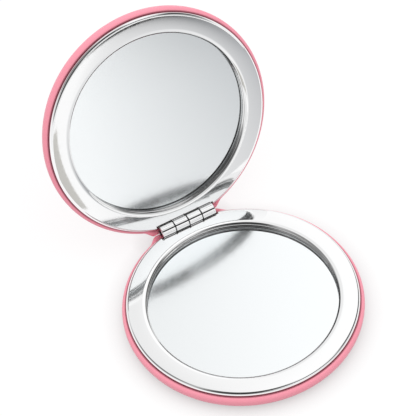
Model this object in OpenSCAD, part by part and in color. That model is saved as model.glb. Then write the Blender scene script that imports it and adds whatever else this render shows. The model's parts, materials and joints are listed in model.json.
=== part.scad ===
// Compact mirror: two round padded halves with plated frames, joined by a barrel hinge.
// Each half is drawn with its parting plane at z = 0 and its body below, and is then placed.
// The base stands on z = 0, and the lid is drawn open at open_angle.

/* [Case] */
// Outer diameter of each half
case_d = 70; // [64:1:84]
// Thickness of each half, from its parting plane to its outer face
half_t = 6.8; // [6.6:0.1:8.4]
// Diameter of the flat outer face
face_d = 58; // [54:1:60]
// Depth of the widest line of the cover below the parting plane
bulge_depth = 3.2; // [2.9:0.1:3.5]
// Fullness of the padded edge below its widest line: 1 is an ellipse, less is fuller
puff_share = 0.85; // [0.7:0.01:1]
// Depth of the cover's lip below the parting plane
lip_depth = 1.7; // [1.5:0.1:1.9]
// Thickness of the cover skin on the outer face
skin_t = 0.8; // [0.6:0.1:1]
// Angle between the two parting planes as drawn, 0 when closed
open_angle = 112; // [0:1:112]
// Angle at which the two cover lands meet behind the barrel
stop_angle = 116; // [114:1:124]

/* [Frame] */
// Distance from the case's outer edge to the frame's outer wall
frame_inset = 1.3; // [1.2:0.1:1.8]
// Width of the frame ring
frame_w = 6.1; // [5.6:0.1:7]
// Wall of the frame
frame_t = 0.5; // [0.4:0.1:0.6]
// Gap between the two frames when closed
frame_gap = 0.8; // [0.4:0.1:1]
// Height of the frame's outer skirt
skirt_h = 2.4; // [2:0.1:2.6]
// Radius of the frame's outer edge
edge_r = 0.85; // [0.6:0.05:1]
// Width of the soft roll from the flat of the frame down to its inner wall
roll_w = 1.4; // [1:0.1:1.6]
// Height of that roll
roll_h = 0.5; // [0.4:0.1:0.8]
// How far the foot of the inner wall stands back from its edge
wall_lean = 0.25; // [0:0.05:0.4]

/* [Mirror] */
// Depth of the glass below the top of the frame
mirror_sink = 1.95; // [1.6:0.05:2.1]
// Thickness of the glass
glass_t = 1.4; // [1:0.1:1.5]
// How far the glass runs under the frame
glass_lap = 1.2; // [0.8:0.1:1.3]
// Thickness of the silvering and its paint
backing_t = 0.15; // [0.1:0.05:0.2]
// Thickness of the adhesive disc
tape_t = 0.3; // [0.2:0.1:0.4]

/* [Tray] */
// Thickness of the tray floor
floor_t = 1; // [0.8:0.1:1.1]
// Thickness of the tray wall
tray_wall = 0.9; // [0.6:0.1:1]

/* [Hinge] */
// Diameter of the hinge barrel
barrel_d = 4; // [3.6:0.1:4.2]
// Length of the whole barrel
barrel_w = 17.7; // [14:0.1:20]
// Distance from the case's outer edge to the hinge axis
axis_inset = 1.8; // [1.7:0.05:2]
// Diameter of the hinge pin
pin_d = 1.6; // [1.2:0.1:2]
// Radial clearance of the pin in the lid's knuckles
pin_play = 0.05; // [0.02:0.01:0.08]
// How deep the pin sits inside each end of the barrel
pin_recess = 0.8; // [0.4:0.1:1.2]
// Gap between two knuckles
knuckle_gap = 0.15; // [0.1:0.05:0.25]
// Thickness of the hinge leaf
leaf_t = 0.6; // [0.5:0.1:0.7]

/* [Closing magnets] */
// Length of each bar magnet
magnet_l = 8; // [5:0.5:10]
// Width of each bar magnet
magnet_w = 2.2; // [1.6:0.1:2.3]
// Height of each bar magnet
magnet_h = 1.5; // [1:0.1:2]

/* [Hidden] */
$fn = 128;
arc_steps = 9;
knuckles = 4;
overrun = 1;

// Radii of the case
case_r = case_d / 2;
face_r = face_d / 2;
frame_r = case_r - frame_inset;
aperture_r = frame_r - frame_w;
cover_play = 0.05;
cavity_r = frame_r + cover_play;
lip_flat = 0.15;
lip_w = case_r - cavity_r - lip_flat;
cavity_face_r = face_r - skin_t;
cavity_depth = half_t - skin_t;

// Depths of the stack below the parting plane
frame_top = frame_gap / 2;
leaf_top = frame_top + frame_t;
leaf_bottom = leaf_top + leaf_t;
glass_top = frame_top + mirror_sink;
backing_top = glass_top + glass_t;
tape_top = backing_top + backing_t;
floor_top = tape_top + tape_t;
tray_bottom = floor_top + floor_t;
tray_top = frame_top + edge_r;
skirt_bottom = frame_top + skirt_h;

// Tray and glass
tray_play = 0.05;
tray_r = frame_r - frame_t - tray_play;
tray_inner_r = tray_r - tray_wall;
tray_face_r = min(cavity_face_r, tray_inner_r);
glass_r = aperture_r + glass_lap;
backing_r = glass_r;
tape_margin = 0.6;
tape_r = glass_r - tape_margin;
glass_play = 0.3;
boss_y0 = glass_r + glass_play;

// Hinge
barrel_r = barrel_d / 2;
pin_r = pin_d / 2;
axis_y = case_r - axis_inset;
barrel_clear = 0.35;
channel_r = barrel_r + barrel_clear;
channel_side = 0.4;
channel_w = barrel_w + 2 * channel_side;
knuckle_w = (barrel_w - (knuckles - 1) * knuckle_gap) / knuckles;
knuckle_pitch = knuckle_w + knuckle_gap;
notch_gap = 0.2;
notch_y = axis_y - barrel_r - notch_gap;
notch_side = 0.6;
notch_w = barrel_w + 2 * notch_side;
leaf_margin = 0.25;
leaf_w = barrel_w - 2 * leaf_margin;
leaf_y0 = aperture_r + roll_w;
leaf_y1 = axis_y - barrel_r - barrel_clear;

// Cover land behind the barrel, where the two halves meet when fully open
land_drop = 0.2;
land_side = 1.2;
land_w = barrel_w + 2 * land_side;
land_flare = 3.2;
land_flare_depth = 2.4;

// Screws that hold each leaf to the boss of its tray
screw_r = 0.42;
screw_head_r = 0.66;
screw_head_h = 0.4;
screw_sink = 0.05;
screw_l = 2.2;
screw_play = 0.1;
screw_edge = 0.15;
screw_spread_share = 0.32;
screw_x = leaf_w * screw_spread_share;
screw_y = leaf_y1 - screw_edge - screw_play - screw_head_r;

// Magnet pocket, opposite the hinge
magnet_play = 0.1;
magnet_wall = 0.8;
magnet_y = (boss_y0 + tray_inner_r) / 2;
magnet_bottom = tray_top + magnet_h;

pink = [0.98, 0.63, 0.70];
plated = [0.86, 0.87, 0.88];
silver = [0.80, 0.84, 0.88];
steel = [0.62, 0.63, 0.65];
foam = [0.95, 0.93, 0.86];
plastic = [0.92, 0.92, 0.91];
tape_white = [0.97, 0.97, 0.95];
paint_grey = [0.45, 0.47, 0.50];

// Points of an elliptic arc, from angle a0 to a1
function arc_points(centre, rx, ry, a0, a1) =
    [for (i = [0:arc_steps]) let (a = a0 + (a1 - a0) * i / arc_steps)
        [centre[0] + rx * cos(a), centre[1] + ry * sin(a)]];

// Points of the puffed quarter from the widest line down to the outer face
function puffed_points(centre, rx, ry) =
    [for (i = [1:arc_steps]) let (a = 90 * i / arc_steps)
        [centre[0] + rx * pow(cos(a), puff_share), centre[1] - ry * pow(sin(a), puff_share)]];

// Radius and height of the cover's filled outer shape
function cover_outline(lip) = concat(
    [[0, -half_t], [0, -lip]],
    arc_points([case_r - lip_w, -bulge_depth], lip_w, bulge_depth - lip, 90, 0),
    puffed_points([face_r, -bulge_depth], case_r - face_r, half_t - bulge_depth));

// Radius and height of the space inside the cover, from the given top
function cavity_outline(top) = concat(
    [[0, -cavity_depth], [0, top], [cavity_r, top], [cavity_r, -bulge_depth]],
    puffed_points([cavity_face_r, -bulge_depth], cavity_r - cavity_face_r, cavity_depth - bulge_depth));

// Radius and height of the tray's filled outer shape, which follows the inside of the cover
function tray_outline(top) = concat(
    [[0, -tray_bottom], [0, top], [tray_r, top]],
    arc_points([tray_face_r, -bulge_depth], tray_r - tray_face_r, tray_bottom - bulge_depth, 0, -90));

function tray_inside() = concat(
    [[0, -floor_top], [0, overrun], [tray_inner_r, overrun]],
    arc_points([glass_r, -bulge_depth], tray_inner_r - glass_r, floor_top - bulge_depth, 0, -90));

// Radius and height of the frame's section, one sheet folded down on both sides
function frame_outline() = concat(
    [[aperture_r + wall_lean, -glass_top]],
    arc_points([aperture_r + roll_w, -frame_top - roll_h], roll_w, roll_h, 180, 90),
    arc_points([frame_r - edge_r, -frame_top - edge_r], edge_r, edge_r, 90, 0),
    [[frame_r, -skirt_bottom], [frame_r - frame_t, -skirt_bottom]],
    arc_points([frame_r - edge_r, -frame_top - edge_r], edge_r - frame_t, edge_r - frame_t, 0, 90),
    arc_points([aperture_r + roll_w, -leaf_top - roll_h], roll_w - frame_t, roll_h, 90, 180),
    [[aperture_r + wall_lean + frame_t, -glass_top]]);

// Places a half drawn below its parting plane
module as_base() {
    translate([0, 0, half_t])
        children();
}

module as_lid() {
    translate([0, axis_y, half_t])
        rotate([-open_angle, 0, 0])
            translate([0, -axis_y, 0])
                mirror([0, 0, 1])
                    children();
}

// A cylinder along the hinge axis, centred at x
module axis_rod(r, length, x = 0) {
    translate([x, axis_y, 0])
        rotate([0, 90, 0])
            cylinder(r = r, h = length, center = true);
}

module disc(r, top, thickness) {
    translate([0, 0, -top - thickness])
        cylinder(r = r, h = thickness);
}

// A block with its top at depth top and its bottom at depth bottom
module block(x_size, y0, y1, top, bottom) {
    translate([-x_size / 2, y0, -bottom])
        cube([x_size, y1 - y0, bottom - top]);
}

// Straight land behind the barrel, with flared ends
module cover_land() {
    intersection() {
        rotate([90, 0, 90])
            linear_extrude(land_w + 2 * land_flare, center = true)
                polygon(cover_outline(lip_depth + land_drop));
        translate([0, 0, -half_t - overrun])
            linear_extrude(half_t + 2 * overrun)
                polygon([[-land_w / 2 - land_flare, case_r - land_flare_depth],
                    [-land_w / 2, case_r + overrun], [land_w / 2, case_r + overrun],
                    [land_w / 2 + land_flare, case_r - land_flare_depth], [0, 0]]);
    }
}

// What lies past the stop face, which the other half's stop face meets when fully open
module stop_wedge() {
    translate([-case_r, axis_y, 0])
        rotate([-stop_angle / 2, 0, 0])
            cube([case_d, case_r, case_r]);
}

module cover_half() {
    difference() {
        union() {
            rotate_extrude()
                polygon(cover_outline(lip_depth));
            cover_land();
        }
        rotate_extrude()
            polygon(cavity_outline(overrun));
        axis_rod(channel_r, channel_w);
        stop_wedge();
    }
}

module pad_half() {
    difference() {
        rotate_extrude()
            polygon(cavity_outline(-skirt_bottom));
        rotate_extrude()
            polygon(tray_outline(overrun));
    }
}

// A dish with a boss for the leaf's screws and one for the magnet left standing in it
module tray_half() {
    difference() {
        rotate_extrude()
            polygon(tray_outline(-tray_top));
        difference() {
            rotate_extrude()
                polygon(tray_inside());
            block(leaf_w, boss_y0, case_r, leaf_bottom, tray_bottom);
            block(magnet_l + 2 * magnet_wall, -case_r, -boss_y0, tray_top, tray_bottom);
        }
        axis_rod(channel_r, channel_w);
        block(channel_w, leaf_y0, axis_y, -overrun, leaf_bottom);
        magnet_block(magnet_play, overrun);
        for (side = [-1, 1])
            translate([side * screw_x, screw_y, -leaf_top - screw_sink - screw_l])
                cylinder(r = screw_r, h = screw_l);
    }
}

module frame_half() {
    difference() {
        rotate_extrude()
            polygon(frame_outline());
        block(notch_w, notch_y, case_r, -overrun, skirt_bottom + overrun);
    }
}

module magnet_block(play, above) {
    block(magnet_l + 2 * play, -magnet_y - magnet_w / 2 - play, -magnet_y + magnet_w / 2 + play,
        tray_top - above, magnet_bottom);
}

// Knuckles first, first + 2 and so on, counted from the left
module knuckle_row(first, r) {
    for (i = [first:2:knuckles - 1])
        axis_rod(r, knuckle_w, -barrel_w / 2 + knuckle_w / 2 + i * knuckle_pitch);
}

// Short tongues that run from the leaf into its own knuckles
module knuckle_lugs(first) {
    for (i = [first:2:knuckles - 1])
        translate([-barrel_w / 2 + knuckle_w / 2 + i * knuckle_pitch, 0, 0])
            block(knuckle_w, leaf_y1 - leaf_t, axis_y, leaf_top, leaf_bottom);
}

module leaf_half(first, bore_r) {
    difference() {
        union() {
            block(leaf_w, leaf_y0, leaf_y1, leaf_top, leaf_bottom);
            knuckle_lugs(first);
            knuckle_row(first, barrel_r);
        }
        axis_rod(bore_r, barrel_w + 2 * overrun);
        screw_pair(screw_play, overrun);
    }
}

// Two countersunk screws, or with play the holes that take them
module screw_pair(play, above) {
    for (side = [-1, 1])
        translate([side * screw_x, screw_y, -leaf_top - screw_sink]) {
            translate([0, 0, -screw_l])
                cylinder(r = screw_r + play, h = screw_l);
            translate([0, 0, -screw_head_h])
                cylinder(r1 = screw_r + play, r2 = screw_head_r + play, h = screw_head_h);
            if (above > 0)
                cylinder(r = screw_head_r + play, h = above);
        }
}

module base_cover() { color(pink) as_base() cover_half(); }
module base_pad() { color(foam) as_base() pad_half(); }
module base_tray() { color(plastic) as_base() tray_half(); }
module base_frame() { color(plated) as_base() frame_half(); }
module base_mirror_glass() { color(silver) as_base() disc(glass_r, glass_top, glass_t); }
module base_mirror_backing() { color(paint_grey) as_base() disc(backing_r, backing_top, backing_t); }
module base_mirror_tape() { color(tape_white) as_base() disc(tape_r, tape_top, tape_t); }
module base_magnet() { color(steel) as_base() magnet_block(0, 0); }
module base_hinge_leaf() { color(plated) as_base() leaf_half(0, pin_r); }
module base_hinge_screws() { color(steel) as_base() screw_pair(0, 0); }
module hinge_pin() { color(steel) as_base() axis_rod(pin_r, barrel_w - 2 * pin_recess); }

module lid_cover() { color(pink) as_lid() cover_half(); }
module lid_pad() { color(foam) as_lid() pad_half(); }
module lid_tray() { color(plastic) as_lid() tray_half(); }
module lid_frame() { color(plated) as_lid() frame_half(); }
module lid_mirror_glass() { color(silver) as_lid() disc(glass_r, glass_top, glass_t); }
module lid_mirror_backing() { color(paint_grey) as_lid() disc(backing_r, backing_top, backing_t); }
module lid_mirror_tape() { color(tape_white) as_lid() disc(tape_r, tape_top, tape_t); }
module lid_magnet() { color(steel) as_lid() magnet_block(0, 0); }
module lid_hinge_leaf() { color(plated) as_lid() leaf_half(1, pin_r + pin_play); }
module lid_hinge_screws() { color(steel) as_lid() screw_pair(0, 0); }

base_cover();
base_pad();
base_tray();
base_frame();
base_mirror_glass();
base_mirror_backing();
base_mirror_tape();
base_magnet();
base_hinge_leaf();
base_hinge_screws();
hinge_pin();
lid_cover();
lid_pad();
lid_tray();
lid_frame();
lid_mirror_glass();
lid_mirror_backing();
lid_mirror_tape();
lid_magnet();
lid_hinge_leaf();
lid_hinge_screws();
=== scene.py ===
# Compact mirror: the looks of its two padded pink halves, plated rings, mirrors and barrel hinge.
# Each half is made closed, with its parting plane at z = 0 and its body below, and then put in place.
import json
import math

import bmesh
import bpy
from mathutils import Matrix, Vector


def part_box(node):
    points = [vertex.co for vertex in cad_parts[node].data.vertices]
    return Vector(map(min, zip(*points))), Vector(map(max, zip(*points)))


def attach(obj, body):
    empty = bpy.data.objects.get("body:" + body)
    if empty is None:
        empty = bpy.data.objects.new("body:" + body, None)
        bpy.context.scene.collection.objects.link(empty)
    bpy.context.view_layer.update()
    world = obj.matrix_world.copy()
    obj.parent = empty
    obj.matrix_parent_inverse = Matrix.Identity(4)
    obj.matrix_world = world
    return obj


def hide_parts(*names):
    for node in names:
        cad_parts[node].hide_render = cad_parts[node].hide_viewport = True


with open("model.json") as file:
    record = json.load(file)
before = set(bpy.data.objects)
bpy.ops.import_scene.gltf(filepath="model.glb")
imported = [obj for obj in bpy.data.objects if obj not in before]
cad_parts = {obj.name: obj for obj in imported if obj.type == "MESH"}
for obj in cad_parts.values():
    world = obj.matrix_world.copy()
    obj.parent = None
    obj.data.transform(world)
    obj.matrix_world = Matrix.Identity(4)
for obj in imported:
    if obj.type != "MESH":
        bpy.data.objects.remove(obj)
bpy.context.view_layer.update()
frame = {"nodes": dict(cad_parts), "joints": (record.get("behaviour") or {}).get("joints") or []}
scene = bpy.context.scene

MM = 0.001
MERGE_DIST = 1e-7

# How many steps the round shapes take
COVER_STEPS = 288
RING_STEPS = 640
DISC_STEPS = 192
ROD_STEPS = 128
BARREL_STEPS = 96
SCREW_STEPS = 40

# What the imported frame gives
hinge = frame["joints"][0]
axis_y = hinge["pos_m"][1]
half_t = hinge["pos_m"][2]
open_angle = math.radians(-hinge["range_deg"][0])
case_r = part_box("base_cover")[1].x
frame_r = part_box("base_frame")[1].x
frame_top = half_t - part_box("base_frame")[1].z
skirt_bottom = half_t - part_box("base_frame")[0].z
glass_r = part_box("base_mirror_glass")[1].x
glass_top = half_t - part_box("base_mirror_glass")[1].z
glass_bottom = half_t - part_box("base_mirror_glass")[0].z
tray_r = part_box("base_tray")[1].x
tray_bottom = half_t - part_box("base_tray")[0].z
pin_r = (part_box("hinge_pin")[1].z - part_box("hinge_pin")[0].z) / 2
barrel_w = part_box("lid_hinge_leaf")[1].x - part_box("base_hinge_leaf")[0].x
barrel_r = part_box("base_hinge_leaf")[1].z - half_t

# Sizes of the cover, in metres
face_r = 29 * MM
face_loop_r = face_r * 0.6
bulge_depth = 3.2 * MM
puff_share = 0.85
lip_depth = 1.7 * MM
lip_flat = 0.15 * MM
skin_t = 0.8 * MM
cavity_gap = 0.05 * MM
channel_r = barrel_r + 0.35 * MM
channel_w = barrel_w + 0.8 * MM
stop_angle = math.radians(116)

# The cover's straight land behind the barrel: how far its lip drops, its width and its flared ends, the angle
# beyond which the cover is round, and the push outwards at which the lip has dropped fully
land_drop = 0.2 * MM
land_w = barrel_w + 2.4 * MM
land_flare = 3.2 * MM
land_back = 2.4 * MM
land_reach = math.radians(40)
land_full_push = 0.03

# Sizes of the foam and the mirror
foam_clear = 0.02 * MM
glass_bevel = 0.12 * MM
glass_sharp_deg = 20

# Sizes of the plated frame
aperture_r = 27.6 * MM
wall_lean = 0.25 * MM
roll_w = 1.4 * MM
roll_h = 0.5 * MM
edge_r = 0.85 * MM
sheet_t = 0.5 * MM
seat_gap = 0.08 * MM
foot_step = 0.1 * MM
bead_r = 0.26 * MM
bead_inset = 0.02 * MM
bead_arc = (250, 110)
cove_w = 0.22 * MM
cove_arc = (-80, 80)
notch_gap = 0.2 * MM
notch_side = 0.6 * MM

# Sizes of the hinge
knuckles = 4
knuckle_gap = 0.15 * MM
knuckle_rim = 0.12 * MM
rim_turn_share = 0.3
rim_loop_share = 1.5
leaf_t = 0.6 * MM
leaf_gap = 0.35 * MM
leaf_side = 0.25 * MM
tongue_bite = 0.15 * MM
pin_play = 0.05 * MM

# Sizes of the screws: the head's underside as a share of the shank, and the slot as one of the head's radius
screw_head_h = 0.4 * MM
screw_shank_r = 0.42 * MM
screw_slot_w = 0.16 * MM
screw_slot_depth = 0.15 * MM
screw_neck_share = 0.9
screw_slot_share = 2.4

# Depth of the padded edge's widest line, which the photograph shows nearer the parting plane on the lid
WIDEST_LINE = {"base": bulge_depth, "lid": 2.7 * MM}

# Painted shade and painted reflection bands in the frame's recess: across the soft roll inwards, and down the
# wall to the glass
ROLL_PAINTED_SHADE_SHARES = [(0.60, 0), (0.68, 0.30), (0.74, 0.08), (0.94, 0.08), (0.98, 0.70), (1, 0.85)]
WALL_PAINTED_SHADE_SHARES = [
    (0, 0.85), (0.08, 0.95), (0.16, 0.12), (0.62, 0.10),
    (0.70, 0.90), (0.80, 0.10), (1, 0.75),
]
# How far above the cover's lip the painted shade in the frame's outer gap reaches
GAP_PAINTED_SHADE_H = 0.60 * MM
# How dark the painted shade is in the barrel's bore and its joints
JOINT_PAINTED_SHADE = 0.95
# How dark the painted shade in the groove beside the frame is, by the distance out from the cover's inner
# edge, and how far below the widest line it may reach
LIP_PAINTED_SHADE_STEPS = [(0, 0.9), (0.28 * MM, 0.75), (0.48 * MM, 0)]
LIP_PAINTED_SHADE_ROOM = 0.1 * MM

# Finishes, as linear colours
PINK = (0.965, 0.325, 0.415, 1)
PINK_LIGHT = (0.990, 0.355, 0.445, 1)
# The groove's deep rose, which is painted shade
ROSE_PAINTED_SHADE = (0.33, 0.07, 0.10, 1)
CHROME = (0.93, 0.932, 0.935, 1)
# The near black of the frame's recess and the barrel's joints, which is painted shade
CHROME_PAINTED_SHADE = (0.008, 0.008, 0.009, 1)
SILVER = (0.92, 0.945, 0.955, 1)
WHITE = (1, 1, 1, 1)

# The values between which most of the fine grain lies
GRAIN_SPREAD = (0.35, 0.65)
GRAIN_DETAIL = 3

# Grain as waves a metre and depth in metres, and the roughness from smooth to rough
PINK_GRAIN = (2600, 4e-6)
PINK_ROUGH = (0.34, 0.42)
PINK_SPECULAR = 0.4
CHROME_GRAIN = (900, 4e-7)
CHROME_ROUGH = (0.03, 0.055)
SILVER_GRAIN = (700, 2e-7)
SILVER_ROUGH = (0.085, 0.105)

# The other finishes: light colour, dark colour, roughness, grain and metallic
FINISHES = {
    "open_foam": ((0.84, 0.80, 0.70, 1), (0.70, 0.66, 0.56, 1), (0.9, 1.0), (1800, 6e-5), 0),
    "moulded_tray": ((0.80, 0.80, 0.79, 1), (0.74, 0.74, 0.73, 1), (0.42, 0.55), (1200, 8e-6), 0),
    "mirror_paint": ((0.20, 0.22, 0.24, 1), (0.14, 0.16, 0.18, 1), (0.5, 0.65), (600, 5e-6), 0),
    "tape": ((0.92, 0.92, 0.90, 1), (0.84, 0.84, 0.81, 1), (0.75, 0.9), (1500, 1e-5), 0),
    "nickel": ((0.66, 0.65, 0.63, 1), (0.56, 0.55, 0.54, 1), (0.22, 0.38), (1000, 2e-6), 1),
    "bright_steel": ((0.64, 0.64, 0.65, 1), (0.54, 0.54, 0.55, 1), (0.20, 0.34), (1400, 2e-6), 1),
}

# The camera, from a fit to the photograph
FOCAL_PX = 2500
IMAGE_PX = 416
SENSOR_MM = 36
CAMERA_AZ = math.radians(-25.22)
CAMERA_EL = math.radians(50.55)
CAMERA_ROLL = math.radians(5.08)
CAMERA_DIST = 739.33 * MM
CAMERA_TARGET = Vector((7.72, 33.92, half_t / MM)) * MM
CAMERA_CLIP_END = 100
# How far the picture moves right and down, from the ring's outline in the photograph
PICTURE_SHIFT_PX = (0.71, 0.43)

# The studio as the metal sees it, and how high its bright horizon reaches, as a share of straight up
STUDIO_GREY = 0.72
HORIZON_LIGHT = 0.95
HORIZON_HEIGHTS = (0.20, 0.34)

# Soft patches of the studio's ceiling and walls, each over those before it: azimuth, elevation, radius and
# softness in degrees, and brightness
STUDIO_PATCHES = [
    (180, 28, 62, 12, 0.30),
    (-140, 42, 20, 8, 0.05),
    (-60, 46, 22, 8, 0.22),
    (82, 40, 22, 7, 0.06),
    (125, 66, 17, 4, 1.0),
    (-155, 79, 18, 4, 0.03),
    (0, 86, 8, 3, 0.03),
]

# A bright panel in front with a dark slot across it, which the hinge barrel shows as its fine middle line
PANEL = (157, 42, 24, 7)
SLOT_NORMAL = (0, 0.802, 0.597)
SLOT_REACH = (0.17, 0.23)
SLOT_DARK = 0.02

# The softbox: azimuth, elevation, radius and softness, and its brightness from its left to its right
SOFTBOX = (28, 55, 27, 6)
SOFTBOX_ACROSS = (0.899, -0.438, 0)
SOFTBOX_REACH = (-0.06, 0.05)
SOFTBOX_LIGHT = (0.90, 1.08)

# Light on the object itself, from the horizon up to overhead, and the background's white
OBJECT_LIGHT = (0.58, 1.42)
BACKGROUND_WHITE = 0.985

# The floor: its half size in metres, its own colour and the one that it sends on to the object, how much of it
# glows and how brightly, and how near the object and by how much that glow darkens as a painted contact shadow
FLOOR_HALF = 6
FLOOR_PALE = (0.9, 0.9, 0.9, 1)
FLOOR_BOUNCE = (0.5, 0.5, 0.5, 1)
FLOOR_GLOW_SHARE = 0.72
FLOOR_GLOW = 1.04
CONTACT_REACH = 7 * MM
CONTACT_DARK = 0.42

# The grey sheet in front: its corners in metres, its colour, where it goes from clear to grey towards the
# right, and between which distances and how far it darkens, from far to near
FRONT_SHEET = [(-0.07, -1.25), (0.80, -1.25), (0.80, -0.045), (-0.07, -0.045)]
FRONT_COLOUR = (0.50, 0.51, 0.525, 1)
FRONT_DIRECTION = (0.966, 0.26, 0)
FRONT_REACH = (-0.020, 0.085)
FRONT_FADE = (-1.20, -0.35)
FRONT_FAR_SHARE = 0.35

# The other cards, by their corners in metres
DARK_STRIP = [(0.10, -2.00), (0.80, -2.00), (0.80, -1.25), (0.10, -1.25)]
DARK_STRIP_COLOUR = (0.03, 0.03, 0.03, 1)
WARM_CARD = [(-0.023, -0.445), (0.077, -0.445), (0.002, -0.097), (-0.098, -0.097)]
WARM_CARD_COLOUR = (0.60, 0.59, 0.56, 1)
CARD_HEIGHT = 1 * MM
WARM_CARD_HEIGHT = 2 * MM


# Meshes

def place_matrix(half):
    """From the closed half's own coordinates to where the half lies at rest."""
    if half == "base":
        return Matrix.Translation((0, 0, half_t))
    to_axis = Matrix.Translation((0, -axis_y, 0))
    turn = Matrix.Rotation(-open_angle, 4, "X")
    back = Matrix.Translation((0, axis_y, half_t))
    return back @ turn @ to_axis @ Matrix.Scale(-1, 4, (0, 0, 1))


def arc(centre, rx, ry, start, stop, steps):
    """Points of an elliptic arc between two angles in degrees."""
    points = []
    for i in range(steps + 1):
        a = math.radians(start + (stop - start) * i / steps)
        points.append((centre[0] + rx * math.cos(a), centre[1] + ry * math.sin(a)))
    return points


def puffed(centre, rx, ry, steps):
    """Points of the padded edge from its widest line down to the outer face, fuller than an ellipse."""
    points = []
    for i in range(1, steps + 1):
        a = math.pi / 2 * i / steps
        side = max(0, math.cos(a)) ** puff_share
        fall = math.sin(a) ** puff_share
        points.append((centre[0] + rx * side, centre[1] - ry * fall))
    return points


def spin(bm, outline, steps, bend=None):
    """Turns a closed outline of (radius, height) about Z. bend(radius, height, angle) may shift its points."""
    rings = []
    for k in range(steps):
        a = 2 * math.pi * k / steps
        ring = []
        for r, z in outline:
            rr, zz = bend(r, z, a) if bend else (r, z)
            ring.append(bm.verts.new((rr * math.sin(a), rr * math.cos(a), zz)))
        rings.append(ring)
    count = len(outline)
    for k in range(steps):
        one, two = rings[k], rings[(k + 1) % steps]
        for i in range(count):
            j = (i + 1) % count
            bm.faces.new((one[i], two[i], two[j], one[j]))
    clean(bm)


def clean(bm):
    """Merges doubles, and takes out the faces without area and the loose edges that this leaves."""
    bmesh.ops.remove_doubles(bm, verts=bm.verts, dist=MERGE_DIST)
    flat = [f for f in bm.faces if f.calc_area() < MERGE_DIST ** 2]
    bmesh.ops.delete(bm, geom=flat, context="FACES_ONLY")
    loose = [e for e in bm.edges if not e.link_faces]
    bmesh.ops.delete(bm, geom=loose, context="EDGES")


def face_out(bm):
    """Points all faces the same way and then outwards, which a closed shape's volume shows."""
    bmesh.ops.recalc_face_normals(bm, faces=bm.faces)
    if bm.calc_volume(signed=True) < 0:
        bmesh.ops.reverse_faces(bm, faces=bm.faces)


def object_from(bm, name):
    """Puts a bmesh into the scene as an object, and frees it."""
    mesh = bpy.data.meshes.new(name)
    bm.to_mesh(mesh)
    bm.free()
    obj = bpy.data.objects.new(name, mesh)
    scene.collection.objects.link(obj)
    return obj


def finish_mesh(bm, name, half, sharp_deg=35):
    """Merges doubles, places the half, points the faces outwards and marks the sharp edges."""
    clean(bm)
    bm.transform(place_matrix(half))
    face_out(bm)
    for f in bm.faces:
        f.smooth = True
    for e in bm.edges:
        e.smooth = not e.is_manifold or e.calc_face_angle(0) < math.radians(sharp_deg)
    return object_from(bm, name)


def rod(r, length):
    """A cylinder along the hinge axis, in closed-half coordinates, for cutting."""
    bm = bmesh.new()
    bmesh.ops.create_cone(bm, cap_ends=True, segments=ROD_STEPS, radius1=r, radius2=r, depth=length)
    bm.transform(Matrix.Translation((0, axis_y, 0)) @ Matrix.Rotation(math.pi / 2, 4, "Y"))
    return bm


def box_mesh(x0, x1, y0, y1, z0, z1):
    """A box between two corners."""
    bm = bmesh.new()
    bmesh.ops.create_cube(bm, size=1)
    size = Matrix.Diagonal((x1 - x0, y1 - y0, z1 - z0, 1))
    bm.transform(Matrix.Translation(((x0 + x1) / 2, (y0 + y1) / 2, (z0 + z1) / 2)) @ size)
    return bm


def temporary(bm, name):
    """An object that only lasts for one cut or join."""
    face_out(bm)
    return object_from(bm, name)


def cut(bm, cutters):
    """Takes the cutters' shapes out of bm and gives the result as a new bmesh."""
    return combine(bm, cutters, "DIFFERENCE")


def combine(bm, others, operation):
    """Joins the other shapes to bm, or takes them out of it, as one closed solid."""
    body = temporary(bm, "cut_body")
    tools = [temporary(c, "cutter") for c in others]
    for tool in tools:
        mod = body.modifiers.new("cut", "BOOLEAN")
        mod.operation = operation
        mod.solver = "EXACT"
        mod.object = tool
    graph = bpy.context.evaluated_depsgraph_get()
    mesh = bpy.data.meshes.new_from_object(body.evaluated_get(graph))
    out = bmesh.new()
    out.from_mesh(mesh)
    bpy.data.meshes.remove(mesh)
    for o in [body] + tools:
        data = o.data
        bpy.data.objects.remove(o)
        bpy.data.meshes.remove(data)
    if not out.faces:
        raise ValueError("a cut or a join left nothing")
    return out


def along(shares, place):
    """Reads a list of (place, value) pairs, straight between them and held beyond both ends."""
    if place <= shares[0][0]:
        return shares[0][1]
    for (p0, v0), (p1, v1) in zip(shares, shares[1:]):
        if place <= p1:
            return v0 + (v1 - v0) * (place - p0) / (p1 - p0)
    return shares[-1][1]


def store_painted_shade(bm, shade_at):
    """Keeps with each point how much painted shade it has, for the materials that read it."""
    layer = bm.verts.layers.float.new("crevice")
    for v in bm.verts:
        v[layer] = shade_at(v.co)


# The pieces

def land_scale(angle):
    """How far the cover's outline is pushed out behind the barrel: straight, with flared ends."""
    a = abs((angle + math.pi) % (2 * math.pi) - math.pi)
    if a > land_reach:
        return 1
    straight = 1 / math.cos(a)
    x_end = land_w / 2
    a0 = math.atan2(x_end, case_r)
    a1 = math.atan2(x_end + land_flare, case_r - land_back)
    if a <= a0:
        return straight
    if a >= a1:
        return 1
    t = (a - a0) / (a1 - a0)
    ease = t * t * (3 - 2 * t)
    return (1 - ease) / math.cos(a0) + ease


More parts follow.
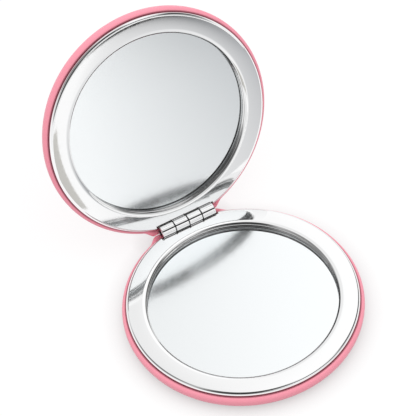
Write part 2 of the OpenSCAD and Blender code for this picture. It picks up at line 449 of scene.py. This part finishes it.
def cover(half):
    """The padded pink shell: a puffed rim, a flat outer face and a lip round the frame."""
    cavity_r = frame_r + cavity_gap
    lip_w = case_r - cavity_r - lip_flat
    cavity_face_r = face_r - skin_t
    cavity_depth = half_t - skin_t
    widest = WIDEST_LINE[half]
    outside = arc((case_r - lip_w, -widest), lip_w, widest - lip_depth, 90, 0, steps=24)
    outside += puffed((face_r, -widest), case_r - face_r, half_t - widest, steps=28)
    inside = puffed((cavity_face_r, -bulge_depth), cavity_r - cavity_face_r,
                    cavity_depth - bulge_depth, steps=10)
    outline = [(cavity_r, -lip_depth)] + outside
    outline += [(face_loop_r, -half_t), (0, -half_t), (0, -cavity_depth)]
    outline += inside[::-1] + [(cavity_r, -bulge_depth)]
    skin = set(outside)

    def bend(r, z, a):
        """Pushes the skin out behind the barrel, and lowers its lip there, but not its widest line."""
        if (r, z) not in skin:
            return r, z
        s = land_scale(a)
        above = max(0, (z + widest) / (widest - lip_depth))
        return r * s, z - land_drop * above * min(1, (s - 1) / land_full_push)

    def groove_painted_shade(co):
        """How dark the painted shade in the groove beside the frame is at a point."""
        if -co.z >= widest + LIP_PAINTED_SHADE_ROOM:
            return 0
        return along(LIP_PAINTED_SHADE_STEPS, math.hypot(co.x, co.y) - cavity_r)

    bm = bmesh.new()
    spin(bm, outline, COVER_STEPS, bend)
    wedge = box_mesh(-case_r, case_r, 0, case_r, 0, case_r)
    wedge.transform(Matrix.Translation((0, axis_y, 0)) @ Matrix.Rotation(-stop_angle / 2, 4, "X"))
    bm = cut(bm, [rod(channel_r, channel_w), wedge])
    # Painted shade in the groove beside the frame, kept with each point
    store_painted_shade(bm, groove_painted_shade)
    obj = finish_mesh(bm, half + "_padded_cover", half)
    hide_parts(half + "_cover")
    return obj


def foam(half):
    """The foam that fills the padded edge and lies under the outer face, between the cover and the tray."""
    clear = foam_clear
    cavity_r = frame_r + cavity_gap - clear
    cavity_depth = half_t - skin_t - clear
    cavity_face_r = face_r - skin_t
    top = skirt_bottom + clear
    outline = [(cavity_r, -top), (cavity_r, -bulge_depth)]
    outline += puffed((cavity_face_r, -bulge_depth), cavity_r - cavity_face_r,
                      cavity_depth - bulge_depth, steps=20)
    outline += [(0, -cavity_depth), (0, -tray_bottom - clear)]
    outline += arc((cavity_face_r, -bulge_depth), tray_r + clear - cavity_face_r,
                   tray_bottom + clear - bulge_depth, -90, 0, steps=16)
    outline += [(tray_r + clear, -top)]
    bm = bmesh.new()
    spin(bm, outline, DISC_STEPS)
    obj = finish_mesh(bm, half + "_foam_pad", half)
    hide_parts(half + "_pad")
    return obj


def ring(half):
    """The plated frame: flat, with a round outer edge, a soft roll and a stepped wall down to the mirror."""
    foot = aperture_r + wall_lean
    bead_z = -glass_top + seat_gap + bead_r
    outline = [(foot + foot_step, -glass_top + seat_gap)]
    outline += arc((foot + bead_inset, bead_z), bead_r, bead_r, *bead_arc, steps=10)
    outline += arc((foot + bead_inset, (bead_z + bead_r - frame_top - roll_h) / 2), cove_w,
                   (-frame_top - roll_h - bead_z - bead_r) / 2 - bead_inset, *cove_arc, steps=8)
    outline += arc((aperture_r + roll_w, -frame_top - roll_h), roll_w, roll_h, 180, 90, steps=20)
    outline += arc((frame_r - edge_r, -frame_top - edge_r), edge_r, edge_r, 90, 0, steps=20)
    outline += [(frame_r, -skirt_bottom), (frame_r - sheet_t, -skirt_bottom)]
    outline += arc((frame_r - edge_r, -frame_top - edge_r), edge_r - sheet_t, edge_r - sheet_t, 0, 90, steps=5)
    outline += arc((aperture_r + roll_w, -frame_top - sheet_t - roll_h), roll_w - sheet_t, roll_h,
                   90, 180, steps=6)
    outline += [(aperture_r + wall_lean + sheet_t, -glass_top)]
    bm = bmesh.new()
    spin(bm, outline, RING_STEPS)
    notch_w = barrel_w + 2 * notch_side
    notch_y = axis_y - barrel_r - notch_gap
    notch = box_mesh(-notch_w / 2, notch_w / 2, notch_y, case_r, -skirt_bottom - MM, MM)
    bm = cut(bm, [notch])
    # Painted shade in the recess and the outer gap, with painted reflection bands over the roll and the wall
    store_painted_shade(bm, painted_recess_shade)
    obj = finish_mesh(bm, half + "_plated_ring", half)
    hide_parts(half + "_frame")
    return obj


def painted_recess_shade(co):
    """How dark the painted shade is at a point: over the soft roll and down the wall, with painted reflection
    bands, and in the outer gap.
    """
    r = math.hypot(co.x, co.y)
    depth = -co.z
    if r > frame_r - edge_r:
        return min(1, max(0, (depth - lip_depth + GAP_PAINTED_SHADE_H) / GAP_PAINTED_SHADE_H))
    if r > aperture_r + roll_w:
        return 0
    lip = frame_top + roll_h
    if depth < lip:
        return along(ROLL_PAINTED_SHADE_SHARES, (aperture_r + roll_w - r) / roll_w)
    return along(WALL_PAINTED_SHADE_SHARES, (depth - lip) / (glass_top - lip))


def mirror(half):
    """The glass disc with its silvering, seen as one bright flat face with a ground edge."""
    inner_r = glass_r - glass_bevel
    outline = [(0, -glass_top), (inner_r, -glass_top), (glass_r, -glass_top - glass_bevel)]
    outline += [(glass_r, -glass_bottom + glass_bevel), (inner_r, -glass_bottom), (0, -glass_bottom)]
    bm = bmesh.new()
    spin(bm, outline, DISC_STEPS)
    obj = finish_mesh(bm, half + "_round_mirror", half, glass_sharp_deg)
    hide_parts(half + "_mirror_glass")
    return obj


def knuckle(bm, x0, x1, bore_r):
    """A hollow knuckle from x0 to x1, with rounded rims and a loop beside each to keep the rest straight."""
    rim = knuckle_rim
    turn = rim * rim_turn_share
    beside = rim * rim_loop_share
    section = [(bore_r, x0 + rim), (bore_r + turn, x0 + turn), (bore_r + rim, x0)]
    section += [(barrel_r - rim, x0), (barrel_r - turn, x0 + turn), (barrel_r, x0 + rim)]
    section += [(barrel_r, x0 + beside), (barrel_r, x1 - beside)]
    section += [(barrel_r, x1 - rim), (barrel_r - turn, x1 - turn), (barrel_r - rim, x1)]
    section += [(bore_r + rim, x1), (bore_r + turn, x1 - turn), (bore_r, x1 - rim)]
    rings = []
    for k in range(BARREL_STEPS):
        a = 2 * math.pi * k / BARREL_STEPS
        rings.append([bm.verts.new((x, axis_y + r * math.cos(a), r * math.sin(a))) for r, x in section])
    for k in range(BARREL_STEPS):
        one, two = rings[k], rings[(k + 1) % BARREL_STEPS]
        for i in range(len(section)):
            j = (i + 1) % len(section)
            bm.faces.new((one[i], one[j], two[j], two[i]))


def barrel_painted_shade(co):
    """How dark the barrel's painted shade is at a point: in its bore and in the joints between its knuckles.
    """
    r = math.hypot(co.y - axis_y, co.z)
    if r > barrel_r + MERGE_DIST:
        return 0
    if r < pin_r + pin_play + knuckle_rim:
        return JOINT_PAINTED_SHADE
    pitch = (barrel_w + knuckle_gap) / knuckles
    past_joint = (co.x + (barrel_w + knuckle_gap) / 2) % pitch
    from_joint = min(past_joint, pitch - past_joint)
    in_joint = from_joint <= knuckle_gap / 2 + knuckle_rim / 2
    at_end = abs(co.x) > barrel_w / 2 - knuckle_rim
    return JOINT_PAINTED_SHADE if in_joint and not at_end else 0


def leaf(half):
    """A hinge leaf: its own two knuckles, the tongues that carry them and the plate under the ring."""
    first = 0 if half == "base" else 1
    bore_r = pin_r if half == "base" else pin_r + pin_play
    width = (barrel_w - (knuckles - 1) * knuckle_gap) / knuckles
    top = frame_top + sheet_t
    x_side = barrel_w / 2 - leaf_side
    y0 = aperture_r + roll_w
    y1 = axis_y - barrel_r - leaf_gap
    y_in = axis_y - math.sqrt(barrel_r ** 2 - (top + leaf_t) ** 2) + tongue_bite
    bm = bmesh.new()
    parts = [box_mesh(-x_side, x_side, y0, y1, -top - leaf_t, -top)]
    for i in range(first, knuckles, 2):
        x0 = -barrel_w / 2 + i * (width + knuckle_gap)
        knuckle(bm, x0, x0 + width, bore_r)
        parts.append(box_mesh(x0, x0 + width, y1 - leaf_t, y_in, -top - leaf_t, -top))
    bm = combine(bm, parts, "UNION")
    # Painted shade in the bore and the joints, kept with each point
    store_painted_shade(bm, barrel_painted_shade)
    obj = finish_mesh(bm, half + "_knuckle_leaf", half)
    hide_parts(half + "_hinge_leaf")
    return obj


# Nodes that materials and geometry share

def feed(tree, socket, value):
    """Sets a socket to a fixed value, or links it to another node's output."""
    if isinstance(value, (int, float, tuple)):
        socket.default_value = value
    else:
        tree.links.new(value, socket)


def math_node(tree, operation, one, two=None):
    """One step of arithmetic on one value or two."""
    node = tree.nodes.new("ShaderNodeMath")
    node.operation = operation
    feed(tree, node.inputs[0], one)
    if two is not None:
        feed(tree, node.inputs[1], two)
    return node.outputs[0]


def mixed(tree, data_type, ending, fac, one, two):
    """Blends two values or colours by the Mix node's sockets of one kind."""
    node = tree.nodes.new("ShaderNodeMix")
    node.data_type = data_type
    for name, value in (("Factor_Float", fac), ("A_" + ending, one), ("B_" + ending, two)):
        feed(tree, next(s for s in node.inputs if s.identifier == name), value)
    return next(s for s in node.outputs if s.identifier == "Result_" + ending)


def mix_colour(tree, fac, one, two):
    return mixed(tree, "RGBA", "Color", fac, one, two)


def mix_value(tree, fac, one, two):
    return mixed(tree, "FLOAT", "Float", fac, one, two)


def linear(tree, value, low, high, to_low=0, to_high=1, kind="LINEAR"):
    """A ramp from to_low to to_high as the value goes from low to high, held beyond both."""
    node = tree.nodes.new("ShaderNodeMapRange")
    node.interpolation_type = kind
    tree.links.new(value, node.inputs["Value"])
    for name, number in (("From Min", low), ("From Max", high), ("To Min", to_low), ("To Max", to_high)):
        node.inputs[name].default_value = number
    return node.outputs["Result"]


def ramp(tree, value, low, high, to_low=0, to_high=1):
    """The same ramp, but eased at both ends."""
    return linear(tree, value, low, high, to_low, to_high, "SMOOTHSTEP")


def dot(tree, vector, direction):
    """How far a vector points in a direction."""
    node = tree.nodes.new("ShaderNodeVectorMath")
    node.operation = "DOT_PRODUCT"
    tree.links.new(vector, node.inputs[0])
    node.inputs[1].default_value = direction
    return node.outputs["Value"]


# The screws

def screw_tree():
    """Geometry nodes for a row of two countersunk screws with driver slots, their heads level with z = 0.

    The sizes are given in millimetres, because the cuts lose such small shapes in metres.
    """
    tree = bpy.data.node_groups.new("screw_row", "GeometryNodeTree")
    for name in ("Spread", "Head Radius", "Head Height", "Shank Radius", "Length", "Slot Width", "Slot Depth"):
        tree.interface.new_socket(name, in_out="INPUT", socket_type="NodeSocketFloat")
    tree.interface.new_socket("Material", in_out="INPUT", socket_type="NodeSocketMaterial")
    tree.interface.new_socket("Geometry", in_out="OUTPUT", socket_type="NodeSocketGeometry")
    given = tree.nodes.new("NodeGroupInput").outputs
    result = tree.nodes.new("NodeGroupOutput")

    def times(value, number):
        return math_node(tree, "MULTIPLY", value, number)

    def vector(x, y, z):
        node = tree.nodes.new("ShaderNodeCombineXYZ")
        for socket, value in zip(node.inputs, (x, y, z)):
            feed(tree, socket, value)
        return node.outputs["Vector"]

    def moved(mesh, offset):
        node = tree.nodes.new("GeometryNodeTransform")
        tree.links.new(mesh, node.inputs["Geometry"])
        tree.links.new(offset, node.inputs["Translation"])
        return node.outputs["Geometry"]

    def boolean(operation):
        node = tree.nodes.new("GeometryNodeMeshBoolean")
        node.operation = operation
        node.solver = "EXACT"
        return node

    head = tree.nodes.new("GeometryNodeMeshCone")
    head.inputs["Vertices"].default_value = SCREW_STEPS
    tree.links.new(given["Head Radius"], head.inputs["Radius Top"])
    tree.links.new(times(given["Shank Radius"], screw_neck_share), head.inputs["Radius Bottom"])
    tree.links.new(given["Head Height"], head.inputs["Depth"])
    sunk = times(given["Head Height"], -1)

    shank = tree.nodes.new("GeometryNodeMeshCylinder")
    shank.inputs["Vertices"].default_value = SCREW_STEPS
    inside_head = times(given["Head Height"], 0.5)
    shank_length = math_node(tree, "SUBTRACT", given["Length"], inside_head)
    tree.links.new(given["Shank Radius"], shank.inputs["Radius"])
    tree.links.new(shank_length, shank.inputs["Depth"])
    middle = math_node(tree, "ADD", inside_head, times(shank_length, 0.5))

    slot = tree.nodes.new("GeometryNodeMeshCube")
    slot_length = times(given["Head Radius"], screw_slot_share)
    slot_height = times(given["Slot Depth"], 2)
    tree.links.new(vector(slot_length, given["Slot Width"], slot_height), slot.inputs["Size"])

    whole = boolean("UNION")
    tree.links.new(moved(head.outputs["Mesh"], vector(0, 0, sunk)), whole.inputs["Mesh 2"])
    tree.links.new(moved(shank.outputs["Mesh"], vector(0, 0, times(middle, -1))), whole.inputs["Mesh 2"])
    slotted = boolean("DIFFERENCE")
    tree.links.new(whole.outputs["Mesh"], slotted.inputs["Mesh 1"])
    tree.links.new(slot.outputs["Mesh"], slotted.inputs["Mesh 2"])

    row = tree.nodes.new("GeometryNodeMeshLine")
    row.inputs["Count"].default_value = 2
    tree.links.new(vector(times(given["Spread"], -1), 0, 0), row.inputs["Start Location"])
    tree.links.new(vector(times(given["Spread"], 2), 0, 0), row.inputs["Offset"])
    placed = tree.nodes.new("GeometryNodeInstanceOnPoints")
    tree.links.new(row.outputs["Mesh"], placed.inputs["Points"])
    tree.links.new(slotted.outputs["Mesh"], placed.inputs["Instance"])
    realize = tree.nodes.new("GeometryNodeRealizeInstances")
    tree.links.new(placed.outputs["Instances"], realize.inputs["Geometry"])
    to_metres = tree.nodes.new("GeometryNodeTransform")
    to_metres.inputs["Scale"].default_value = (MM, MM, MM)
    tree.links.new(realize.outputs["Geometry"], to_metres.inputs["Geometry"])
    finish = tree.nodes.new("GeometryNodeSetMaterial")
    tree.links.new(to_metres.outputs["Geometry"], finish.inputs["Geometry"])
    tree.links.new(given["Material"], finish.inputs["Material"])
    tree.links.new(finish.outputs["Geometry"], result.inputs["Geometry"])
    return tree


def screws(half, tree, mat):
    """The two screws of one leaf, sized and placed from the frame's own screws."""
    low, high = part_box("base_hinge_screws")
    head_r = (high.y - low.y) / 2
    sizes = {
        "Spread": (high.x - head_r) / MM,
        "Head Radius": head_r / MM,
        "Head Height": screw_head_h / MM,
        "Shank Radius": screw_shank_r / MM,
        "Length": (high.z - low.z) / MM,
        "Slot Width": screw_slot_w / MM,
        "Slot Depth": screw_slot_depth / MM,
        "Material": mat,
    }
    holder = bpy.data.objects.new("screw_holder", bpy.data.meshes.new("screw_holder"))
    scene.collection.objects.link(holder)
    modifier = holder.modifiers.new("screw_row", "NODES")
    modifier.node_group = tree
    for item in tree.interface.items_tree:
        if item.in_out == "INPUT":
            modifier[item.identifier] = sizes[item.name]
    graph = bpy.context.evaluated_depsgraph_get()
    mesh = bpy.data.meshes.new_from_object(holder.evaluated_get(graph))
    bm = bmesh.new()
    bm.from_mesh(mesh)
    bpy.data.objects.remove(holder)
    bpy.data.meshes.remove(mesh)
    bm.transform(Matrix.Translation((0, (low.y + high.y) / 2, high.z - half_t)))
    obj = finish_mesh(bm, half + "_slotted_screws", half)
    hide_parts(half + "_hinge_screws")
    return obj


# Materials

def new_material(name):
    """A material with its node tree and its Principled BSDF."""
    mat = bpy.data.materials.new(name)
    mat.use_nodes = True
    return mat, mat.node_tree, mat.node_tree.nodes["Principled BSDF"]


def grain_group():
    """Fine grain on the piece's own coordinates: a value about 0.5, and a normal that follows it."""
    group = bpy.data.node_groups.new("fine_grain", "ShaderNodeTree")
    for name in ("Scale", "Depth"):
        group.interface.new_socket(name, in_out="INPUT", socket_type="NodeSocketFloat")
    group.interface.new_socket("Value", in_out="OUTPUT", socket_type="NodeSocketFloat")
    group.interface.new_socket("Normal", in_out="OUTPUT", socket_type="NodeSocketVector")
    given = group.nodes.new("NodeGroupInput")
    result = group.nodes.new("NodeGroupOutput")
    coord = group.nodes.new("ShaderNodeTexCoord")
    noise = group.nodes.new("ShaderNodeTexNoise")
    noise.inputs["Detail"].default_value = GRAIN_DETAIL
    bump = group.nodes.new("ShaderNodeBump")
    group.links.new(coord.outputs["Object"], noise.inputs["Vector"])
    group.links.new(given.outputs["Scale"], noise.inputs["Scale"])
    group.links.new(given.outputs["Depth"], bump.inputs["Distance"])
    group.links.new(noise.outputs["Fac"], bump.inputs["Height"])
    group.links.new(noise.outputs["Fac"], result.inputs["Value"])
    group.links.new(bump.outputs["Normal"], result.inputs["Normal"])
    return group


def new_finish(name, grain, rough, metallic=0):
    """A material whose gloss and relief follow the fine grain, and the grain's value for its colour."""
    mat, tree, shader = new_material(name)
    node = tree.nodes.new("ShaderNodeGroup")
    node.node_tree = GRAIN
    node.inputs["Scale"].default_value, node.inputs["Depth"].default_value = grain
    value = node.outputs["Value"]
    tree.links.new(linear(tree, value, *GRAIN_SPREAD, *rough), shader.inputs["Roughness"])
    tree.links.new(node.outputs["Normal"], shader.inputs["Normal"])
    shader.inputs["Metallic"].default_value = metallic
    return mat, tree, shader, value


def with_painted_shade(tree, colour, dark):
    """The colour, with the painted shade colour where the piece's points carry painted shade."""
    node = tree.nodes.new("ShaderNodeAttribute")
    node.attribute_name = "crevice"
    return mix_colour(tree, node.outputs["Fac"], colour, dark)


def pink_skin():
    """Satin leather-look skin with a faint grain, and painted shade in deep rose in the groove beside the
    frame.
    """
    mat, tree, shader, value = new_finish("pink_skin", PINK_GRAIN, PINK_ROUGH)
    skin = mix_colour(tree, value, PINK, PINK_LIGHT)
    tree.links.new(with_painted_shade(tree, skin, ROSE_PAINTED_SHADE), shader.inputs["Base Color"])
    shader.inputs["Specular IOR Level"].default_value = PINK_SPECULAR
    return mat


def chrome():
    """Bright plating with painted shade in the frame's recess and in the barrel's joints, and painted
    reflection bands in the recess.
    """
    mat, tree, shader, _ = new_finish("chrome_plate", CHROME_GRAIN, CHROME_ROUGH, metallic=1)
    tree.links.new(with_painted_shade(tree, CHROME, CHROME_PAINTED_SHADE), shader.inputs["Base Color"])
    return mat


def silvered():
    """Silvered glass, its reflection a little softened by its front face."""
    mat, _, shader, _ = new_finish("silvered_glass", SILVER_GRAIN, SILVER_ROUGH, metallic=1)
    shader.inputs["Base Color"].default_value = SILVER
    return mat


def textured(name, light, dark, rough, grain, metallic):
    """A finish whose colour, gloss and relief all vary with the same fine grain."""
    mat, tree, shader, value = new_finish(name, grain, rough, metallic)
    tone = mix_colour(tree, linear(tree, value, *GRAIN_SPREAD), dark, light)
    tree.links.new(tone, shader.inputs["Base Color"])
    return mat


def dress(obj, mat):
    """Gives an object one material in place of those that it has."""
    obj.data.materials.clear()
    obj.data.materials.append(mat)


# The studio

def add_camera():
    """The photograph's view: right and down are the image's own axes, turned by the roll."""
    back = Vector((math.cos(CAMERA_EL) * math.sin(CAMERA_AZ),
                   -math.cos(CAMERA_EL) * math.cos(CAMERA_AZ),
                   math.sin(CAMERA_EL)))
    level = (-back).cross(Vector((0, 0, 1))).normalized()
    fall = (-back).cross(level)
    right = math.cos(CAMERA_ROLL) * level + math.sin(CAMERA_ROLL) * fall
    up = math.sin(CAMERA_ROLL) * level - math.cos(CAMERA_ROLL) * fall
    data = bpy.data.cameras.new("camera")
    data.sensor_width = SENSOR_MM
    data.sensor_fit = "HORIZONTAL"
    data.lens = FOCAL_PX * SENSOR_MM / IMAGE_PX
    data.shift_x = -PICTURE_SHIFT_PX[0] / IMAGE_PX
    data.shift_y = PICTURE_SHIFT_PX[1] / IMAGE_PX
    data.clip_end = CAMERA_CLIP_END
    cam = bpy.data.objects.new("camera", data)
    scene.collection.objects.link(cam)
    turn = Matrix((right, up, back)).transposed().to_4x4()
    cam.matrix_world = Matrix.Translation(CAMERA_TARGET + CAMERA_DIST * back) @ turn
    scene.camera = cam


def seen_by_shiny(tree):
    """1 for what the camera, the metal and the glass see, 0 for the light that falls on the object."""
    path = tree.nodes.new("ShaderNodeLightPath")
    value = path.outputs["Is Camera Ray"]
    for name in ("Is Glossy Ray", "Is Transmission Ray"):
        value = math_node(tree, "MAXIMUM", value, path.outputs[name])
    return value, path


def sky_direction(azimuth, elevation):
    """Azimuth is measured from +Y towards +X, in degrees."""
    a, e = math.radians(azimuth), math.radians(elevation)
    return (math.cos(e) * math.sin(a), math.cos(e) * math.cos(a), math.sin(e))


def patch(tree, towards, azimuth, elevation, radius, soft):
    """1 inside a round patch of the studio, 0 outside, with a soft edge; all in degrees."""
    near = dot(tree, towards, sky_direction(azimuth, elevation))
    low = math.cos(math.radians(radius + soft))
    high = math.cos(math.radians(radius - soft))
    return ramp(tree, near, low, high)


def glow_node(tree, colour):
    """An emission of one colour."""
    node = tree.nodes.new("ShaderNodeEmission")
    node.inputs["Color"].default_value = colour
    return node


def show_mix(tree, fac, one, two):
    """Makes the surface the one shader where fac is 0 and the other where it is 1."""
    node = tree.nodes.new("ShaderNodeMixShader")
    tree.links.new(fac, node.inputs["Fac"])
    tree.links.new(one, node.inputs[1])
    tree.links.new(two, node.inputs[2])
    tree.links.new(node.outputs["Shader"], tree.nodes["Material Output"].inputs["Surface"])


def add_floor():
    """A white floor that glows for the camera and the metal, with a painted contact shadow that dims the glow
    near the object, and keeps the shadow.
    """
    bm = bmesh.new()
    bmesh.ops.create_grid(bm, x_segments=1, y_segments=1, size=FLOOR_HALF)
    floor = object_from(bm, "floor")
    mat, tree, shader = new_material("floor_white")
    shader.inputs["Roughness"].default_value = 1
    shader.inputs["Specular IOR Level"].default_value = 0
    shiny, path = seen_by_shiny(tree)
    tone = mix_colour(tree, path.outputs["Is Diffuse Ray"], FLOOR_PALE, FLOOR_BOUNCE)
    tree.links.new(tone, shader.inputs["Base Color"])
    glow = glow_node(tree, WHITE)
    # Ambient occlusion dims the glow near the object: a painted contact shadow
    closeness = tree.nodes.new("ShaderNodeAmbientOcclusion")
    closeness.inputs["Distance"].default_value = CONTACT_REACH
    strength = linear(tree, closeness.outputs["AO"], 0, 1, FLOOR_GLOW * (1 - CONTACT_DARK), FLOOR_GLOW)
    tree.links.new(strength, glow.inputs["Strength"])
    share = math_node(tree, "MULTIPLY", shiny, FLOOR_GLOW_SHARE)
    show_mix(tree, share, shader.outputs["BSDF"], glow.outputs["Emission"])
    dress(floor, mat)


def only_reflected(sheet):
    """Hides a sheet from everything but reflections."""
    sheet.visible_camera = False
    sheet.visible_diffuse = False
    sheet.visible_shadow = False
    sheet.visible_transmission = False
    sheet.visible_volume_scatter = False


def card(name, corners, height, mat):
    """A flat sheet just above the floor, given by its corners in metres, that only reflections show."""
    bm = bmesh.new()
    bm.faces.new([bm.verts.new((x, y, height)) for x, y in corners])
    sheet = object_from(bm, name)
    dress(sheet, mat)
    only_reflected(sheet)


def front_sheet():
    """Clear at its left, grey at its right and darker with distance."""
    mat, tree, shader = new_material("front_sheet")
    tree.nodes.remove(shader)
    coord = tree.nodes.new("ShaderNodeTexCoord")
    across = dot(tree, coord.outputs["Object"], FRONT_DIRECTION)
    away = dot(tree, coord.outputs["Object"], (0, 1, 0))
    clear = tree.nodes.new("ShaderNodeBsdfTransparent")
    grey = glow_node(tree, FRONT_COLOUR)
    tree.links.new(linear(tree, away, *FRONT_FADE, FRONT_FAR_SHARE, 1), grey.inputs["Strength"])
    show_mix(tree, linear(tree, across, *FRONT_REACH), clear.outputs["BSDF"], grey.outputs["Emission"])
    return mat


def glowing(name, colour):
    """An evenly lit card."""
    mat, tree, shader = new_material(name)
    tree.nodes.remove(shader)
    glow = glow_node(tree, colour)
    tree.links.new(glow.outputs["Emission"], tree.nodes["Material Output"].inputs["Surface"])
    return mat


def add_cards():
    """The grey sheet in front, a dark strip far in front and a small warm card by the front left."""
    card("front_sheet", FRONT_SHEET, CARD_HEIGHT, front_sheet())
    card("dark_strip", DARK_STRIP, CARD_HEIGHT, glowing("dark_strip", DARK_STRIP_COLOUR))
    card("warm_card", WARM_CARD, WARM_CARD_HEIGHT, glowing("warm_card", WARM_CARD_COLOUR))


def add_world():
    """White to the camera, even soft light on the object, and a studio with dark flags for the metal."""
    world = bpy.data.worlds.new("studio")
    scene.world = world
    world.use_nodes = True
    tree = world.node_tree
    back = tree.nodes["Background"]
    coord = tree.nodes.new("ShaderNodeTexCoord")
    towards = coord.outputs["Generated"]
    value = STUDIO_GREY
    for azimuth, elevation, radius, soft, bright in STUDIO_PATCHES:
        value = mix_value(tree, patch(tree, towards, azimuth, elevation, radius, soft), value, bright)
    off_slot = math_node(tree, "ABSOLUTE", dot(tree, towards, SLOT_NORMAL))
    panel_light = ramp(tree, off_slot, *SLOT_REACH, SLOT_DARK, 1)
    value = mix_value(tree, patch(tree, towards, *PANEL), value, panel_light)
    box_light = ramp(tree, dot(tree, towards, SOFTBOX_ACROSS), *SOFTBOX_REACH, *SOFTBOX_LIGHT)
    value = mix_value(tree, patch(tree, towards, *SOFTBOX), value, box_light)
    height = dot(tree, towards, (0, 0, 1))
    value = mix_value(tree, ramp(tree, height, *HORIZON_HEIGHTS), HORIZON_LIGHT, value)
    soft_light = linear(tree, height, 0, 1, *OBJECT_LIGHT)
    shiny, path = seen_by_shiny(tree)
    value = mix_value(tree, shiny, soft_light, value)
    value = mix_value(tree, path.outputs["Is Camera Ray"], value, BACKGROUND_WHITE)
    tree.links.new(value, back.inputs["Strength"])
    back.inputs["Color"].default_value = WHITE


add_camera()
GRAIN = grain_group()
pink_mat = pink_skin()
chrome_mat = chrome()
silver_mat = silvered()
finishes = {name: textured(name, *values) for name, values in FINISHES.items()}
steel_mat = finishes["bright_steel"]
screw_maker = screw_tree()
for half in ("base", "lid"):
    for piece, mat in (
        (cover(half), pink_mat),
        (foam(half), finishes["open_foam"]),
        (ring(half), chrome_mat),
        (mirror(half), silver_mat),
        (leaf(half), chrome_mat),
        (screws(half, screw_maker, steel_mat), steel_mat),
    ):
        dress(piece, mat)
        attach(piece, half)
    for part, finish in (
        ("tray", "moulded_tray"),
        ("mirror_backing", "mirror_paint"),
        ("mirror_tape", "tape"),
        ("magnet", "nickel"),
    ):
        dress(frame["nodes"][half + "_" + part], finishes[finish])
dress(frame["nodes"]["hinge_pin"], steel_mat)
add_floor()
add_cards()
add_world()

scene.view_settings.view_transform = "Standard"
